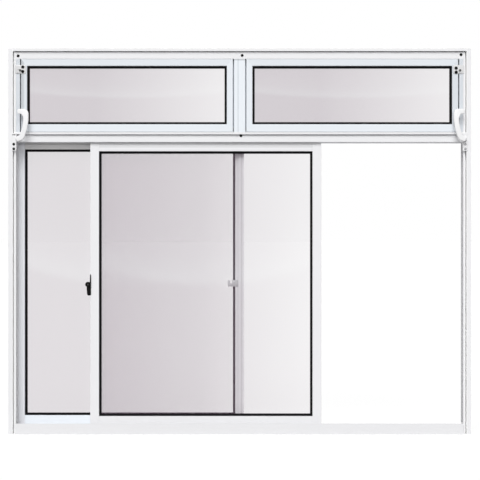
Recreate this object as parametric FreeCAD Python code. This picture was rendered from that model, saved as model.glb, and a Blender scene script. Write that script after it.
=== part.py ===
"""Sliding window in white powder-coated aluminium: two sashes on two tracks below,
two small vents above a transom bar. All sizes are in millimetres.

X runs right and Z up as seen from the room, and Y runs from the room to the open air.
Y = 0 is the back face of the cover flange, and Z = 0 is the middle of the sill's flange."""
import math
import os

import FreeCAD, Part
from FreeCAD import Vector as V

# Overall size of the frame
WIDTH = 1200.0
HEIGHT = 1000.0
DEPTH = 68.0
WALL = 1.5
FIT = 0.3
RUN = 0.5
EASE = 0.6

# Cover flange and shadow groove round the frame
FLANGE_T = 1.6
FLANGE_SIDE = 10.0
FLANGE_TOP = 4.7
FLANGE_SILL = 5.0
GROOVE_SIDE = 3.1
GROOVE_HEAD = 2.5
GROOVE_BAR = 4.2
GROOVE_BEHIND = 11.8
LIP_BEHIND = 5.8
LIP_SIDE = 4.9
LIP_HEAD = 17.1

# Sill and transom bar
SILL_UPSTAND = 27.5
SILL_MID = 20.0
SILL_REAR = 14.0
SILL_NOSE = 7.0
TRACK_H = 7.0
TRACK_R = 1.7
DRAIN_L = 26.0
DRAIN_H = 3.6
DRAIN_COUNT = 4
TRANSOM_ZONE = 225.6
BAR_BEHIND = 6.0
BAR_FACE = 15.6
BAR_LIP = 5.4
BAR_BOX_H = 24.0

# Sashes
SASH_T = 20.0
SASH_GAP = 6.0
SASH_BEHIND = 8.3
GUIDE_PLAY = 1.5
SASH_SIDE_GAP = 2.0
SASH_LOW = 10.0
SASH_SHADOW = 5.3
SASH_OVERLAP = 27.1
REAR_SASH_LESS = 4.5
FRONT_SLID_PART = 0.6203
STILE = 22.8
FRONT_RAIL_LOW = 34.5
FRONT_RAIL_TOP = 18.3
REAR_RAIL_LOW = 33.9
REAR_RAIL_TOP = 11.8
SASH_WALL = 1.4
TONGUE_H = 10.0
TONGUE_W = 14.0
ROLLER_SLOT_W = 12.0
ROLLER_SLOT_H = 18.4
HOOK_PASS = 3.0

# Glazing
GLASS_T = 4.0
POCKET_W = 10.0
POCKET_D = 9.0
BITE = 6.0
GASKET_LIP = 6.0
GASKET_EDGE = 0.7
GASKET_BACK = 1.4

# Vents above the bar
VENT_GAP = 3.0
VENT_SEAM = 0.5
VENT_STILE = 15.6
VENT_RAIL_LOW = 20.0
VENT_RAIL_TOP = 17.6
VENT_POCKET_D = 8.0
FILLER_W = 9.6
FILLER_STEP_AT = 4.8
MULLION_W = 29.2
STEP_W = 0.8
STEP_DEEP = 1.0
MULLION_STEP_X = -3.0
STOP_H = 8.0

# Seal strips on the jambs' middle fins
SEAL_T = 4.6
SEAL_W = 3.2

# Rollers
WHEEL_R = 7.0
WHEEL_W = 5.0
WHEEL_GROOVE = 1.9
AXLE_R = 1.6
ROLLER_INSET = 70.0
HOUSING_L = 44.0

# Pivot brackets of the vents
PIVOT_DROP = 52.6
PIVOT_H = 21.0
PIVOT_LEAF_T = 1.8
PIVOT_FRAME_LEAF = 13.0
PIVOT_VENT_LEAF = 13.0
PIVOT_ROUND = 3.0
BARREL_R = 3.6
BARREL_L = 9.0

# Curved levers, as (distance in from the frame's edge, rise above the bar, half width)
LEVER_PATH = [
    (29.0, 61.8, 6.5),
    (37.3, 61.2, 7.0),
    (44.6, 58.0, 9.4),
    (47.8, 48.0, 7.2),
    (47.9, 35.0, 6.6),
    (45.4, 20.0, 6.5),
    (41.8, 8.0, 6.8),
    (36.4, -4.3, 7.0),
    (25.8, -10.0, 6.6),
]
LEVER_HALF_T = 3.6
LEVER_STAND = 13.0
LEVER_BOW = 4.0
LEVER_STATIONS = 26
LEVER_SIDES = 16
LEVER_CAP_MID = 45.0
LEVER_CAP_END = 72.0
RIGHT_LEVER_OUT = 7.8

# Lever plates
PLATE_EDGE = 8.9
PLATE_W = 12.5
PLATE_T = 2.4
PLATE_ABOVE = 7.4
PLATE_BELOW = 40.0
PLATE_ROUND = 3.4
PLATE_SLOT_R = 1.7
PLATE_SLOT_GAP = 4.7
PLATE_SLOT_RISE = 1.6
BOSS_R = 6.0

# Latch on the front sash and keeper on the rear sash
LATCH_RISE = 374.7
LATCH_FACE_T = 1.6
LATCH_LAP = 2.2
LATCH_BLOCK_T = 13.0
LATCH_WIDE = 9.6
LATCH_BELOW = 30.0
LATCH_TAPER = 2.6
KNOB_R = 6.6
KNOB_T = 4.0
KNOB_PIN_R = 2.2
KNOB_PIN_T = 1.2
LATCH_ARM_H = 26.5
LATCH_ARM_W = 2.9
LATCH_ARM_TIP = 1.2
KEEPER_RISE = 370.0
KEEPER_H = 17.6
KEEPER_T = 1.6
KEEPER_ARM = 16.0
KEEPER_FOOT = 13.5
KEEPER_NOTCH_W = 5.2
KEEPER_NOTCH_H = 8.8
KEEPER_PRONG = 5.8

# Places worked out from the sizes above
LOW = -FLANGE_SILL / 2
HIGH = LOW + HEIGHT
HALF = WIDTH / 2
FACE = -FLANGE_T
WEB_IN = FLANGE_SIDE + WALL
LIP_OUT = WEB_IN + GROOVE_SIDE
LIP_IN = LIP_OUT + LIP_SIDE
HEAD_LIP_HIGH = HIGH - FLANGE_TOP - WALL - GROOVE_HEAD
HEAD_LIP_LOW = HEAD_LIP_HIGH - LIP_HEAD
BAR_HIGH = HIGH - TRANSOM_ZONE
BAR_LOW = BAR_HIGH - BAR_FACE
BAR_LIP_LOW = BAR_HIGH + GROOVE_BAR
BAR_LIP_HIGH = BAR_LIP_LOW + BAR_LIP
DECK = LOW + FLANGE_SILL + WALL
SASH_BASE = LOW + SASH_LOW
SASH_TOP = BAR_LOW - SASH_SHADOW
LIP_Y = FACE + LIP_BEHIND
GROOVE_Y = LIP_Y + GROOVE_BEHIND
BAR_Y = LIP_Y + BAR_BEHIND
SASH_FRONT_Y = BAR_Y + SASH_BEHIND
GUIDE_Y = SASH_FRONT_Y - GUIDE_PLAY
SASH_REAR_Y = SASH_FRONT_Y + SASH_T + SASH_GAP
FIN_Y = SASH_REAR_Y - SASH_GAP / 2
FRONT_TRACK_Y = SASH_FRONT_Y + SASH_T / 2
REAR_TRACK_Y = SASH_REAR_Y + SASH_T / 2
STOP_Y = LIP_Y + SASH_T + RUN
CLEAR_W = WIDTH - 2 * WEB_IN - 2 * SASH_SIDE_GAP
FRONT_SASH_W = (CLEAR_W + SASH_OVERLAP + REAR_SASH_LESS) / 2
REAR_SASH_W = FRONT_SASH_W - REAR_SASH_LESS
REAR_SASH_LEFT = -CLEAR_W / 2
FRONT_SASH_LEFT = CLEAR_W / 2 - FRONT_SASH_W - FRONT_SLID_PART * FRONT_SASH_W
FILLER_EDGE = LIP_IN + FIT + FILLER_W
VENT_LOW = BAR_LIP_HIGH + VENT_SEAM
VENT_TOP = HEAD_LIP_LOW - VENT_SEAM


def box(x0, x1, y0, y1, z0, z1):
    return Part.makeBox(x1 - x0, y1 - y0, z1 - z0, V(x0, y0, z0))


def fused(pieces):
    shape = pieces[0].multiFuse(pieces[1:]) if len(pieces) > 1 else pieces[0]
    return shape.removeSplitter()


def mirrored(shape):
    return shape.mirror(V(0, 0, 0), V(1, 0, 0))


def save(shape, node):
    shape.exportStep("parts/%s.step" % node)


def edges_along(shape, axis):
    return [edge for edge in shape.Edges
            if abs(edge.tangentAt(edge.FirstParameter)[axis]) > 1 - FIT]


def eased(shape, axis, radius):
    """Rounds the edges of a block that run along one axis."""
    return shape.makeFillet(radius, edges_along(shape, axis))


def hollow(span, axis, pockets, wall):
    """An extrusion along one axis: a block with broken corners, less its open pockets, and
    less a chamber that keeps one wall inside the block and round each pocket."""
    def grown(block, by):
        out = list(block)
        for other in range(3):
            if other != axis:
                out[2 * other] -= by
                out[2 * other + 1] += by
        return box(*out)

    chamber = grown(span, -wall)
    for pocket in pockets:
        chamber = chamber.cut(grown(pocket, wall))
    shape = box(*span)
    shape = shape.makeChamfer(EASE, edges_along(shape, axis))
    for pocket in pockets:
        shape = shape.cut(box(*pocket))
    return shape.cut(chamber).removeSplitter()


def wedge(corners, y0, y1):
    """A prism through the frame's depth on (x, z) corners."""
    points = [V(x, y0, z) for x, z in corners]
    return Part.Face(Part.makePolygon(points + points[:1])).extrude(V(0, y1 - y0, 0))


# Outer frame
def left_jamb():
    """Jamb: cover flange and web over the full height; groove, lip and fins below the head."""
    strips = [
        (0, WEB_IN, FACE, 0, HIGH),
        (FLANGE_SIDE, WEB_IN, FACE, DEPTH, HIGH),
        (WEB_IN, LIP_OUT + WALL, GROOVE_Y - WALL, GROOVE_Y, HEAD_LIP_HIGH),
        (LIP_OUT, LIP_OUT + WALL, LIP_Y, GROOVE_Y, HEAD_LIP_HIGH),
        (LIP_OUT, LIP_IN, LIP_Y, LIP_Y + WALL, HEAD_LIP_HIGH),
        (WEB_IN, LIP_IN - SEAL_W, FIN_Y - WALL / 2, FIN_Y + WALL / 2, HEAD_LIP_HIGH),
        (WEB_IN, LIP_OUT, DEPTH - WALL, DEPTH, HEAD_LIP_HIGH),
    ]
    return fused([box(-HALF + u0, -HALF + u1, y0, y1, LOW, top)
                  for u0, u1, y0, y1, top in strips])


def left_jamb_seal():
    """Seal strip clipped over the edge of the jamb's middle fin."""
    edge = -HALF + LIP_IN
    root = edge - 2 * SEAL_W
    low, high = LOW + SILL_UPSTAND, BAR_LOW
    strip = box(root, edge, FIN_Y - SEAL_T / 2, FIN_Y + SEAL_T / 2, low, high)
    slot = box(root, edge - SEAL_W, FIN_Y - WALL / 2, FIN_Y + WALL / 2, low, high)
    return strip.cut(slot)


def notched(shape):
    """A horizontal member with room in each end for the lip, groove and fins of the jamb."""
    for side in (-1, 1):
        a, b = sorted((side * (HALF - WEB_IN), side * (HALF - LIP_IN)))
        c, d = sorted((side * (HALF - WEB_IN), side * (HALF - LIP_OUT)))
        for x0, x1, y0, y1 in ((a, b, FACE, GROOVE_Y), (c, d, DEPTH - WALL, DEPTH),
                               (a, b, FIN_Y - WALL / 2, FIN_Y + WALL / 2)):
            shape = shape.cut(box(x0, x1, y0, y1, LOW, HEAD_LIP_HIGH))
    return shape


def guide_wall(low, high):
    """A wall just inside the front sash's face, between the lips of the jambs."""
    end = HALF - LIP_IN - FIT
    return box(-end, end, GUIDE_Y - WALL, GUIDE_Y, low, high)


def drain_slots(z_centre):
    """A row of drain slots with broken corners, cut through Y from the middle fin out."""
    span = 2 * (HALF - WEB_IN)
    half, high, cut = DRAIN_L / 2, DRAIN_H / 2, DRAIN_H / 4
    ring = [(-half, cut - high), (cut - half, -high), (half - cut, -high), (half, cut - high),
            (half, high - cut), (half - cut, high), (cut - half, high), (-half, high - cut)]
    slots = []
    for step in range(DRAIN_COUNT):
        middle = -span / 2 + span * (step + 0.5) / DRAIN_COUNT
        slots.append(wedge([(middle + x, z_centre + z) for x, z in ring],
                           FIN_Y - WALL, DEPTH + SILL_NOSE))
    return Part.makeCompound(slots)


def sill():
    """Two-track sill: cover flange and tall room upstand, roller tracks with round heads,
    upstands that step down towards the open air, and a drip nose."""
    x0, x1 = -HALF + WEB_IN, HALF - WEB_IN
    base = LOW + FLANGE_SILL
    pieces = [
        box(x0, x1, FACE, 0, LOW, LOW + SILL_UPSTAND),
        box(x0, x1, 0, DEPTH, base, DECK),
        box(x0, x1, FIN_Y - WALL / 2, FIN_Y + WALL / 2, DECK, LOW + SILL_MID),
        box(x0, x1, DEPTH - WALL, DEPTH, DECK, LOW + SILL_REAR),
        guide_wall(DECK, LOW + SILL_MID),
    ]
    for y in (FRONT_TRACK_Y, REAR_TRACK_Y):
        pieces.append(box(x0, x1, y - WALL / 2, y + WALL / 2, DECK, DECK + TRACK_H))
        pieces.append(Part.makeCylinder(TRACK_R, x1 - x0, V(x0, y, DECK + TRACK_H), V(1, 0, 0)))
    nose = [V(x0, DEPTH, base), V(x0, DEPTH + SILL_NOSE, LOW), V(x0, DEPTH + SILL_NOSE, LOW + WALL),
            V(x0, DEPTH, DECK)]
    pieces.append(Part.Face(Part.makePolygon(nose + nose[:1])).extrude(V(x1 - x0, 0, 0)))
    return notched(fused(pieces)).cut(drain_slots(DECK + DRAIN_H / 2 + RUN))


def head():
    """Head: cover flange, shadow groove and deep lip in front, a box behind the vents."""
    x0, x1 = -HALF + WEB_IN, HALF - WEB_IN
    top = HIGH - FLANGE_TOP
    low, high = HEAD_LIP_LOW, HEAD_LIP_HIGH
    pieces = [
        box(x0, x1, FACE, 0, top - WALL, HIGH),
        box(x0, x1, 0, DEPTH, top - WALL, top),
        box(x0, x1, GROOVE_Y - WALL, GROOVE_Y, high - WALL, top),
        box(x0, x1, LIP_Y, GROOVE_Y, high - WALL, high),
        box(x0, x1, LIP_Y, LIP_Y + WALL, low, high),
        box(x0, x1, LIP_Y, DEPTH, low, low + WALL),
        box(x0, x1, DEPTH - WALL, DEPTH, low, top),
        box(x0, x1, STOP_Y, STOP_Y + WALL, low - STOP_H, top),
    ]
    return notched(fused(pieces))


def transom_bar():
    """Bar between the sashes and the vents: the legs below guide the sashes' tongues;
    above are the shadow groove, the lip under the vents and the box behind them."""
    x0, x1 = -HALF + WEB_IN, HALF - WEB_IN
    low, high = BAR_LOW, BAR_HIGH
    box_top = high + BAR_BOX_H
    pieces = [
        box(x0, x1, BAR_Y, BAR_Y + WALL, low, high),
        box(x0, x1, BAR_Y, DEPTH, high - WALL, high),
        guide_wall(low, high),
        box(x0, x1, FIN_Y - WALL / 2, FIN_Y + WALL / 2, low, high),
        box(x0, x1, DEPTH - WALL, DEPTH, low, box_top),
        box(x0, x1, GROOVE_Y - WALL, GROOVE_Y, high, BAR_LIP_HIGH),
        box(x0, x1, LIP_Y, GROOVE_Y, BAR_LIP_LOW, BAR_LIP_LOW + WALL),
        box(x0, x1, LIP_Y, LIP_Y + WALL, BAR_LIP_LOW, BAR_LIP_HIGH),
        box(x0, x1, LIP_Y, STOP_Y, BAR_LIP_HIGH - WALL, BAR_LIP_HIGH),
        box(x0, x1, STOP_Y, STOP_Y + WALL, high - WALL, box_top),
        box(x0, x1, STOP_Y, DEPTH, box_top - WALL, box_top),
    ]
    return notched(fused(pieces))


def upright(x0, x1, stop_x0, stop_x1, step_x):
    """A hollow upright between bar and head, with a fine step down its face and a plate on
    its back that stops the vents."""
    tube = hollow((x0, x1, LIP_Y, STOP_Y, BAR_LIP_HIGH, HEAD_LIP_LOW), 2, [], WALL)
    step = box(step_x - STEP_W / 2, step_x + STEP_W / 2, LIP_Y, LIP_Y + STEP_DEEP,
               BAR_LIP_HIGH, HEAD_LIP_LOW)
    plate = box(stop_x0, stop_x1, STOP_Y, STOP_Y + WALL, BAR_HIGH + BAR_BOX_H,
                HEAD_LIP_LOW - STOP_H)
    return fused([tube.cut(step), plate])


def left_filler():
    x0, x1 = -HALF + FILLER_EDGE - FILLER_W, -HALF + FILLER_EDGE
    return upright(x0, x1, x0, x1 + STOP_H, x0 + FILLER_STEP_AT)


def vent_mullion():
    half = MULLION_W / 2
    return upright(-half, half, -half - STOP_H, half + STOP_H, MULLION_STEP_X)


# Sash and vent members
def stile(x0, y0, z0, z1, width, pocket_side, pocket_depth):
    """A hollow stile with the glazing pocket on the side that pocket_side names."""
    x1 = x0 + width
    mid = y0 + SASH_T / 2
    pocket_x = (x1 - pocket_depth, x1) if pocket_side > 0 else (x0, x0 + pocket_depth)
    pocket = (*pocket_x, mid - POCKET_W / 2, mid + POCKET_W / 2, z0, z1)
    return hollow((x0, x1, y0, y0 + SASH_T, z0, z1), 2, [pocket], SASH_WALL)


def rail(x0, x1, y0, z0, z1, pocket_up, pocket_depth, roller_slot):
    """A hollow rail with the glazing pocket above or below, and in a sliding sash's lower
    rail a slot underneath for the rollers."""
    mid = y0 + SASH_T / 2
    pocket_z = (z1 - pocket_depth, z1) if pocket_up else (z0, z0 + pocket_depth)
    pockets = [(x0, x1, mid - POCKET_W / 2, mid + POCKET_W / 2, *pocket_z)]
    if roller_slot:
        pockets.append((x0, x1, mid - ROLLER_SLOT_W / 2, mid + ROLLER_SLOT_W / 2,
                        z0, z0 + ROLLER_SLOT_H))
    return hollow((x0, x1, y0, y0 + SASH_T, z0, z1), 0, pockets, SASH_WALL)


def frustum(rect0, y0, rect1, y1):
    """A block whose rectangle changes evenly from rect0 at y0 to rect1 at y1."""
    wires = []
    for (x0, x1, z0, z1), y in ((rect0, y0), (rect1, y1)):
        corners = [V(x0, y, z0), V(x1, y, z0), V(x1, y, z1), V(x0, y, z1)]
        wires.append(Part.makePolygon(corners + corners[:1]))
    return Part.makeLoft(wires, True, True)


def resized(rect, by):
    x0, x1, z0, z1 = rect
    return x0 - by, x1 + by, z0 - by, z1 + by


def glass_pane(sight, y0):
    x0, x1, z0, z1 = resized(sight, BITE)
    mid = y0 + SASH_T / 2
    return box(x0, x1, mid - GLASS_T / 2, mid + GLASS_T / 2, z0, z1)


def gasket(sight, y0):
    """Ring with a groove for the pane; its visible lips slope from the frame to the glass."""
    mid = y0 + SASH_T / 2
    half = POCKET_W / 2
    edge = GLASS_T / 2 + GASKET_EDGE
    x0, x1, z0, z1 = resized(sight, BITE + GASKET_BACK)
    inner = resized(sight, -GASKET_LIP)
    ring = box(x0, x1, mid - half, mid + half, z0, z1)
    ring = ring.cut(box(inner[0], inner[1], mid - half, mid + half, inner[2], inner[3]))
    for side in (-1, 1):
        ring = ring.cut(frustum(sight, mid + side * half, inner, mid + side * edge))
    return ring.cut(glass_pane(sight, y0))


def tongue(x0, x1, y0, z0):
    """Two legs along the top of a sliding sash's member that run up inside the bar."""
    mid = y0 + SASH_T / 2
    return [box(x0, x1, mid + side - SASH_WALL / 2, mid + side + SASH_WALL / 2,
                z0 - SASH_WALL, z0 + TONGUE_H)
            for side in (-TONGUE_W / 2, TONGUE_W / 2)]


def interlock(x_edge, side, root, tip):
    """Hook along a meeting stile: a leg off its face, and a lip back over the stile."""
    leg_x = sorted((x_edge, x_edge - side * SASH_WALL))
    lip_x = sorted((x_edge, x_edge - side * (SASH_OVERLAP + HOOK_PASS) / 2))
    toward = 1 if tip > root else -1
    leg_y = sorted((root - toward * EASE, tip))
    lip_y = sorted((tip, tip - toward * SASH_WALL))
    return [box(*leg_x, *leg_y, SASH_BASE, SASH_TOP), box(*lip_x, *lip_y, SASH_BASE, SASH_TOP)]


def sash(left, width, y0, low_face, top_face):
    """The pieces of one sliding sash: stiles over the full height, rails between them."""
    right = left + width
    in0, in1 = left + STILE, right - STILE
    sight = (in0, in1, SASH_BASE + low_face, SASH_TOP - top_face)
    top_pocket = min(POCKET_D, top_face - SASH_WALL)
    top_rail = rail(in0, in1, y0, sight[3], SASH_TOP, False, top_pocket, False)
    left_stile = stile(left, y0, SASH_BASE, SASH_TOP, STILE, 1, POCKET_D)
    right_stile = stile(in1, y0, SASH_BASE, SASH_TOP, STILE, -1, POCKET_D)
    return {
        "left_stile": fused([left_stile] + tongue(left, in0, y0, SASH_TOP)),
        "right_stile": fused([right_stile] + tongue(in1, right, y0, SASH_TOP)),
        "bottom_rail": rail(in0, in1, y0, SASH_BASE, sight[2], True, POCKET_D, True),
        "top_rail": fused([top_rail] + tongue(in0, in1, y0, SASH_TOP)),
        "glass": glass_pane(sight, y0),
        "gasket": gasket(sight, y0),
    }


def front_sash():
    pieces = sash(FRONT_SASH_LEFT, FRONT_SASH_W, SASH_FRONT_Y, FRONT_RAIL_LOW, FRONT_RAIL_TOP)
    back = SASH_FRONT_Y + SASH_T
    hook = interlock(FRONT_SASH_LEFT, -1, back, back + SASH_GAP - 2 * RUN)
    pieces["left_stile"] = fused([pieces["left_stile"]] + hook)
    return pieces


def rear_sash():
    pieces = sash(REAR_SASH_LEFT, REAR_SASH_W, SASH_REAR_Y, REAR_RAIL_LOW, REAR_RAIL_TOP)
    edge = REAR_SASH_LEFT + REAR_SASH_W
    hook = interlock(edge, 1, SASH_REAR_Y, SASH_REAR_Y - SASH_GAP + 2 * RUN)
    pieces["right_stile"] = fused([pieces["right_stile"]] + hook)
    return pieces


def vent(x0, x1):
    """The pieces of one vent, with mitred corners."""
    y0, y1 = LIP_Y, LIP_Y + SASH_T
    low, top = VENT_LOW, VENT_TOP
    in0, in1 = x0 + VENT_STILE, x1 - VENT_STILE
    in_low, in_top = low + VENT_RAIL_LOW, top - VENT_RAIL_TOP
    sight = (in0, in1, in_low, in_top)
    members = {
        "left_stile": (stile(x0, y0, low, top, VENT_STILE, 1, VENT_POCKET_D),
                       [(x0, low), (in0, in_low), (in0, in_top), (x0, top)]),
        "right_stile": (stile(in1, y0, low, top, VENT_STILE, -1, VENT_POCKET_D),
                        [(x1, low), (in1, in_low), (in1, in_top), (x1, top)]),
        "bottom_rail": (rail(x0, x1, y0, low, in_low, True, VENT_POCKET_D, False),
                        [(x0, low), (in0, in_low), (in1, in_low), (x1, low)]),
        "top_rail": (rail(x0, x1, y0, in_top, top, False, VENT_POCKET_D, False),
                     [(x0, top), (in0, in_top), (in1, in_top), (x1, top)]),
    }
    pieces = {part: member.common(wedge(corners, y0, y1))
              for part, (member, corners) in members.items()}
    pieces["glass"] = glass_pane(sight, y0)
    pieces["gasket"] = gasket(sight, y0)
    return pieces


# Hardware
def rollers(left, width, y_track):
    """Two grooved wheels on axles, each in a housing that fills the lower rail's slot."""
    axle_z = DECK + TRACK_H + TRACK_R + FIT + WHEEL_R - WHEEL_GROOVE
    top = SASH_BASE + ROLLER_SLOT_H
    half = ROLLER_SLOT_W / 2
    solids = []
    for x in (left + ROLLER_INSET, left + width - ROLLER_INSET):
        body = box(x - HOUSING_L / 2, x + HOUSING_L / 2, y_track - half, y_track + half,
                   SASH_BASE + WALL, top)
        room = box(x - WHEEL_R - RUN, x + WHEEL_R + RUN, y_track - WHEEL_W / 2 - FIT,
                   y_track + WHEEL_W / 2 + FIT, LOW, top)
        track = box(x - HOUSING_L / 2, x + HOUSING_L / 2, y_track - TRACK_R - RUN,
                    y_track + TRACK_R + RUN, LOW, DECK + TRACK_H + TRACK_R + RUN)
        axle = Part.makeCylinder(AXLE_R, 2 * half, V(x, y_track - half, axle_z), V(0, 1, 0))
        solids.append(fused([body.cut(room).cut(track), axle]))
        solids.append(wheel(x, y_track, axle_z))
    return Part.makeCompound(solids)


def wheel(x, y_track, axle_z):
    """Wheel turned about its axle, with a groove for the track's head."""
    half = WHEEL_W / 2
    profile = [(-half, AXLE_R + FIT), (half, AXLE_R + FIT), (half, WHEEL_R),
               (0, WHEEL_R - WHEEL_GROOVE), (-half, WHEEL_R)]
    points = [V(x, y_track + y, axle_z + r) for y, r in profile]
    return Part.Face(Part.makePolygon(points + points[:1])).revolve(
        V(x, y_track, axle_z), V(0, 1, 0), 360)


def left_pivot():
    """Bracket at a vent's top corner: a leaf on the frame, a leaf on the vent's stile and
    the barrel of the pivot across the gap."""
    z = HIGH - PIVOT_DROP
    half = PIVOT_H / 2
    edge = -HALF + FILLER_EDGE
    vent_edge = edge + VENT_GAP
    frame_leaf = eased(box(edge - PIVOT_FRAME_LEAF, edge, LIP_Y - PIVOT_LEAF_T, LIP_Y,
                           z - half, z + half), 1, PIVOT_ROUND)
    vent_leaf = eased(box(vent_edge, vent_edge + PIVOT_VENT_LEAF, LIP_Y - PIVOT_LEAF_T,
                          LIP_Y, z - half, z + half), 1, PIVOT_ROUND)
    mid = (edge + vent_edge) / 2
    barrel = Part.makeCylinder(BARREL_R, BARREL_L,
                               V(mid - BARREL_L / 2, LIP_Y - PIVOT_LEAF_T, z), V(1, 0, 0))
    bridge = box(edge - PIVOT_ROUND, vent_edge + PIVOT_ROUND, LIP_Y - PIVOT_LEAF_T, LIP_Y,
                 z - half / 2, z + half / 2)
    return fused([frame_leaf, vent_leaf, bridge, barrel.common(
        box(mid - BARREL_L, mid + BARREL_L, LIP_Y - PIVOT_LEAF_T - BARREL_R, LIP_Y,
            z - BARREL_R, z + BARREL_R))])


def lever_sections(path_shift):
    """Stations along the smooth curve through the lever's path, each with its centre, its
    direction and its half width and half thickness; two more at each end round it off."""
    count = len(LEVER_PATH)
    knots = [float(step) for step in range(count)]
    centres = []
    for step, (inset, rise, half_w) in enumerate(LEVER_PATH):
        bow = LEVER_BOW * math.sin(math.pi * step / (count - 1))
        centres.append(V(-HALF + inset - path_shift, FACE - LEVER_STAND - bow, BAR_HIGH + rise))
    path, width = Part.BSplineCurve(), Part.BSplineCurve()
    path.interpolate(Points=centres, Parameters=knots)
    width.interpolate(Points=[V(step, place[2], 0) for step, place in enumerate(LEVER_PATH)],
                      Parameters=knots)
    sections = []
    for station in range(LEVER_STATIONS + 1):
        at = knots[-1] * station / LEVER_STATIONS
        sections.append((path.value(at), V(*path.tangent(at)[0]), width.value(at).y,
                         LEVER_HALF_T))
    for end, sign in ((0, -1), (-1, 1)):
        point, along, half_w, half_t = sections[end]
        for turn in (LEVER_CAP_MID, LEVER_CAP_END):
            size, reach = math.cos(math.radians(turn)), math.sin(math.radians(turn))
            cap = (point + along * (sign * half_t * reach), along, half_w * size, half_t * size)
            sections.insert(0 if sign < 0 else len(sections), cap)
    return sections


def skinned(rings):
    """A solid lofted through rings of as many points each, with flat facets between them."""
    faces = [Part.Face(Part.makePolygon(ring + ring[:1])) for ring in (rings[0], rings[-1])]
    for ring, after in zip(rings, rings[1:]):
        for a, b, c, d in zip(ring, ring[1:] + ring[:1], after[1:] + after[:1], after):
            faces += [Part.Face(Part.makePolygon([a, b, c, a])),
                      Part.Face(Part.makePolygon([a, c, d, a]))]
    shell = Part.makeCompound(faces)
    shell.sewShape()
    return Part.makeSolid(shell.Shells[0])


def left_lever(path_shift):
    """C-shaped lever: a loft through oval sections that follow its path, and the boss it
    turns on, which stands on the lever's plate."""
    turns = [2 * math.pi * (side + 0.5) / LEVER_SIDES for side in range(LEVER_SIDES)]
    rings = []
    for point, along, half_w, half_t in lever_sections(path_shift):
        across = along.cross(V(0, 1, 0)).normalize()
        up = along.cross(across)
        rings.append([point + across * (half_w * math.cos(turn))
                      + up * (half_t * math.sin(turn)) for turn in turns])
    arm = skinned(rings)
    foot = LEVER_PATH[-1]
    x, z = -HALF + foot[0] - path_shift, BAR_HIGH + foot[1]
    boss = Part.makeCylinder(BOSS_R, LEVER_STAND - PLATE_T,
                             V(x, FACE - LEVER_STAND, z), V(0, 1, 0))
    return fused([arm, boss])


def left_lever_plate(path_shift):
    """Plate under the lever's boss with two slots for its spring pin. It laps on the cover
    flange, a pad behind it stands on the jamb's lip, and its ear reaches out level."""
    foot = LEVER_PATH[-1]
    edge = -HALF + PLATE_EDGE
    right = edge + PLATE_W
    boss_x = -HALF + foot[0] - path_shift
    low, high = BAR_HIGH - PLATE_BELOW, BAR_HIGH + PLATE_ABOVE
    slots_z = BAR_HIGH + PLATE_SLOT_RISE
    face = eased(box(edge, right, FACE - PLATE_T, FACE, low, high), 1, PLATE_ROUND)
    pad = eased(box(-HALF + WEB_IN + FIT, right, FACE, LIP_Y, low, high), 1, PLATE_ROUND)
    ear = Part.makeCylinder(BOSS_R + WALL, PLATE_T,
                            V(boss_x, FACE - PLATE_T, BAR_HIGH + foot[1]), V(0, 1, 0))
    plate = fused([face, pad, ear])
    for side in (-1, 1):
        plate = plate.cut(Part.makeCylinder(
            PLATE_SLOT_R, PLATE_T / 2,
            V((edge + right) / 2 + side * PLATE_SLOT_GAP / 2, FACE - PLATE_T, slots_z),
            V(0, 1, 0)))
    return plate


def latch_place():
    """X of the sash's edge and Z of the knob's centre."""
    return FRONT_SASH_LEFT, SASH_BASE + LATCH_RISE


def latch_body():
    """Face plate that laps on the stile's edge, with the block behind it."""
    edge, z = latch_place()
    lap, wide = edge + LATCH_LAP, edge - LATCH_WIDE
    outline = [(lap, z), (lap, z - LATCH_BELOW + 2 * LATCH_TAPER),
               (lap - LATCH_TAPER, z - LATCH_BELOW), (wide + 2 * LATCH_TAPER, z - LATCH_BELOW),
               (wide + LATCH_TAPER / 2, z - LATCH_BELOW / 2), (wide, z)]
    face = wedge(outline, SASH_FRONT_Y - LATCH_FACE_T, SASH_FRONT_Y)
    block = wedge([(min(x, edge), h) for x, h in outline], SASH_FRONT_Y,
                  SASH_FRONT_Y + LATCH_BLOCK_T)
    return fused([face, block])


def latch_cam():
    """Knob on its pin, with the thin arm that points up along the stile's edge."""
    edge, z = latch_place()
    front = SASH_FRONT_Y - LATCH_FACE_T
    x = edge + LATCH_LAP - KNOB_R - LATCH_ARM_W / 2
    knob = Part.makeCylinder(KNOB_R, KNOB_T, V(x, front - KNOB_T, z), V(0, 1, 0))
    knob = knob.makeChamfer(EASE, [knob.Edges[0]])
    pin = Part.makeCylinder(KNOB_PIN_R, KNOB_PIN_T, V(x, front - KNOB_T - KNOB_PIN_T, z), V(0, 1, 0))
    arm_x = edge + LATCH_LAP
    arm = wedge([(x, z - KNOB_R), (arm_x, z - KNOB_R), (arm_x, z + LATCH_ARM_H / 2),
                 (arm_x - LATCH_ARM_TIP / 2, z + LATCH_ARM_H),
                 (arm_x - LATCH_ARM_TIP, z + LATCH_ARM_H),
                 (arm_x - LATCH_ARM_W, z + KNOB_R), (x, z + KNOB_R / 2)], front - KNOB_T / 2, front)
    return fused([knob, pin, arm])


def keeper():
    """Keeper on the rear sash's meeting stile: a foot on the stile, and an arm with an
    upright prong that stands clear of the glass."""
    z0 = SASH_BASE + KEEPER_RISE
    z1 = z0 + KEEPER_H
    y0, y1 = SASH_REAR_Y - KEEPER_T, SASH_REAR_Y
    root = REAR_SASH_LEFT + REAR_SASH_W - STILE
    tip = root - KEEPER_ARM
    notch_x = tip + KEEPER_PRONG
    plate = box(tip, root + KEEPER_FOOT, y0, y1, z0, z1)
    notch = box(notch_x, notch_x + KEEPER_NOTCH_W, y0, y1, z1 - KEEPER_NOTCH_H, z1)
    return eased(plate, 1, EASE).cut(notch)


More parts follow.
